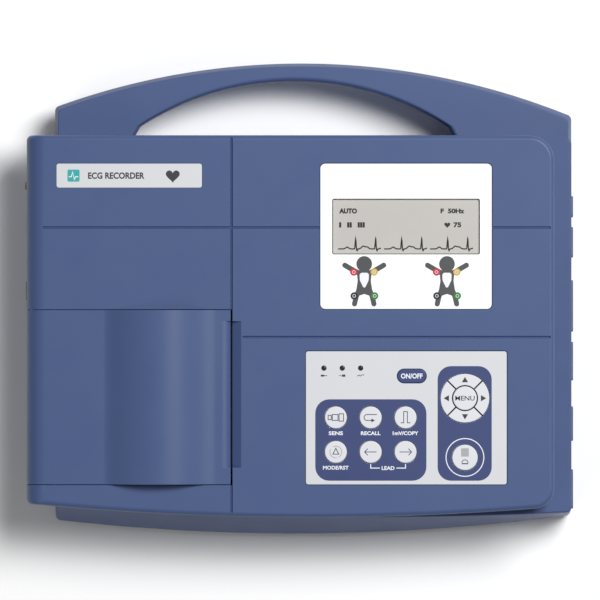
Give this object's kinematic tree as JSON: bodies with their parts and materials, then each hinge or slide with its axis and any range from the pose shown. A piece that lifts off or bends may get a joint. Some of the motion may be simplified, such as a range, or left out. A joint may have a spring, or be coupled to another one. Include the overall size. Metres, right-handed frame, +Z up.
{
  "type": "ecg machine",
  "caption": "Portable electrocardiograph: two-part housing with a rear carry handle, a hinged paper door over a thermal chart printer, a display and a keypad.",
  "frame": {"origin": "centre of the footprint, on the table", "axes": "+X to the operator's right, +Y to the carry handle, +Z up out of the keypad"},
  "size_m": [0.3, 0.2581, 0.07],
  "materials": {
    "housing": "fine spark texture, satin",
    "overlay": "printed polyester, satin",
    "panel_white": "printed, light gloss",
    "screen": "liquid crystal glass, light gloss",
    "key_white": "moulded, satin",
    "key_blue": "moulded, satin",
    "black_plastic": "moulded, satin",
    "rubber": "matt",
    "silicone": "matt",
    "steel": "bright zinc or nickel",
    "brass": "machined",
    "paper": "coated thermal paper",
    "natural_plastic": "natural acetal",
    "circuit_board": "solder mask",
    "ceramic": "glazed strip on its block",
    "battery_wrap": "shrink sleeve",
    "lamp": "smoked light pipe"
  },
  "bodies": {
    "root": {"battery_cover": "housing", "battery_pack": "battery_wrap", "buzzer": "black_plastic", "case_screw_front_left": "steel", "case_screw_front_right": "steel", "case_screw_rear_left": "steel", "case_screw_rear_right": "steel", "display_bezel": "panel_white", "door_hinge_pin": "steel", "earth_terminal": "brass", "foot_front_left": "rubber", "foot_front_right": "rubber", "foot_rear_left": "rubber", "foot_rear_right": "rubber", "head_spring_front": "steel", "head_spring_rear": "steel", "idler_shaft": "steel", "key_mat": "silicone", "keypad_board": "circuit_board", "keypad_panel": "overlay", "lamp_battery": "lamp", "lamp_charging": "lamp", "lamp_mains": "lamp", "lcd_module": "screen", "lower_housing": "housing", "main_board": "circuit_board", "mains_inlet": "black_plastic", "name_label": "overlay", "network_socket": "black_plastic", "paper_tray": "black_plastic", "patient_socket": "steel", "power_board": "circuit_board", "print_head": "ceramic", "printer_chassis": "steel", "serial_socket": "steel", "stepper_motor": "steel", "upper_housing": "housing", "usb_socket": "steel"},
    "door": {"paper_door": "housing"},
    "platen": {"platen_roller": "rubber", "platen_shaft": "steel", "platen_gear": "natural_plastic"},
    "idler": {"idler_gear": "natural_plastic"},
    "rotor": {"motor_pinion": "brass"},
    "roll": {"paper_roll": "paper", "paper_spindle": "natural_plastic"},
    "rocker": {"power_switch": "black_plastic"},
    "key_sensitivity": {"key_sensitivity": "key_white"},
    "key_recall": {"key_recall": "key_white"},
    "key_calibrate": {"key_calibrate": "key_white"},
    "key_mode": {"key_mode": "key_white"},
    "key_lead_left": {"key_lead_left": "key_white"},
    "key_lead_right": {"key_lead_right": "key_white"},
    "key_print": {"key_print": "key_white"},
    "key_power": {"key_power": "key_blue"},
    "key_menu": {"key_menu": "key_white"},
    "key_right": {"key_right": "key_white"},
    "key_up": {"key_up": "key_white"},
    "key_left": {"key_left": "key_white"},
    "key_down": {"key_down": "key_white"}
  },
  "joints": [
    {"name": "door_hinge", "type": "hinge", "parent": "root", "child": "door", "pos_m": [-0.1455, -0.0537, 0.0385], "axis": [0, -1, 0], "range_deg": [0, 95]},
    {"name": "roll_spin", "type": "hinge", "parent": "root", "child": "roll", "pos_m": [-0.0785, -0.0521, 0.0415], "axis": [0, -1, 0], "continuous": true},
    {"name": "platen_spin", "type": "hinge", "parent": "door", "child": "platen", "pos_m": [-0.0445, -0.0521, 0.051], "axis": [0, -1, 0], "continuous": true},
    {"name": "idler_spin", "type": "hinge", "parent": "root", "child": "idler", "pos_m": [-0.0346, -0.0521, 0.0392], "axis": [0, -1, 0], "continuous": true},
    {"name": "motor_spin", "type": "hinge", "parent": "root", "child": "rotor", "pos_m": [-0.02725, -0.0521, 0.02647], "axis": [0, -1, 0], "continuous": true},
    {"name": "power_rocker", "type": "hinge", "parent": "root", "child": "rocker", "pos_m": [-0.146, 0.0045, 0.0425], "axis": [0, -1, 0], "range_deg": [0, 14]},
    {"name": "key_sensitivity_press", "type": "slide", "parent": "root", "child": "key_sensitivity", "axis": [0, 0, -1], "range_m": [0, 0.0006], "stiffness_N_per_m": 1500},
    {"name": "key_recall_press", "type": "slide", "parent": "root", "child": "key_recall", "axis": [0, 0, -1], "range_m": [0, 0.0006], "stiffness_N_per_m": 1500},
    {"name": "key_calibrate_press", "type": "slide", "parent": "root", "child": "key_calibrate", "axis": [0, 0, -1], "range_m": [0, 0.0006], "stiffness_N_per_m": 1500},
    {"name": "key_mode_press", "type": "slide", "parent": "root", "child": "key_mode", "axis": [0, 0, -1], "range_m": [0, 0.0006], "stiffness_N_per_m": 1500},
    {"name": "key_lead_left_press", "type": "slide", "parent": "root", "child": "key_lead_left", "axis": [0, 0, -1], "range_m": [0, 0.0006], "stiffness_N_per_m": 1500},
    {"name": "key_lead_right_press", "type": "slide", "parent": "root", "child": "key_lead_right", "axis": [0, 0, -1], "range_m": [0, 0.0006], "stiffness_N_per_m": 1500},
    {"name": "key_print_press", "type": "slide", "parent": "root", "child": "key_print", "axis": [0, 0, -1], "range_m": [0, 0.0006], "stiffness_N_per_m": 1500},
    {"name": "key_power_press", "type": "slide", "parent": "root", "child": "key_power", "axis": [0, 0, -1], "range_m": [0, 0.0006], "stiffness_N_per_m": 1500},
    {"name": "key_menu_press", "type": "slide", "parent": "root", "child": "key_menu", "axis": [0, 0, -1], "range_m": [0, 0.0006], "stiffness_N_per_m": 1500},
    {"name": "key_right_press", "type": "slide", "parent": "root", "child": "key_right", "axis": [0, 0, -1], "range_m": [0, 0.0006], "stiffness_N_per_m": 1500},
    {"name": "key_up_press", "type": "slide", "parent": "root", "child": "key_up", "axis": [0, 0, -1], "range_m": [0, 0.0006], "stiffness_N_per_m": 1500},
    {"name": "key_left_press", "type": "slide", "parent": "root", "child": "key_left", "axis": [0, 0, -1], "range_m": [0, 0.0006], "stiffness_N_per_m": 1500},
    {"name": "key_down_press", "type": "slide", "parent": "root", "child": "key_down", "axis": [0, 0, -1], "range_m": [0, 0.0006], "stiffness_N_per_m": 1500}
  ],
  "couplings": [
    {"joint": "platen_spin", "follows": "roll_spin", "ratio": 4.2857},
    {"joint": "idler_spin", "follows": "roll_spin", "ratio": -2},
    {"joint": "motor_spin", "follows": "roll_spin", "ratio": 5}
  ]
}
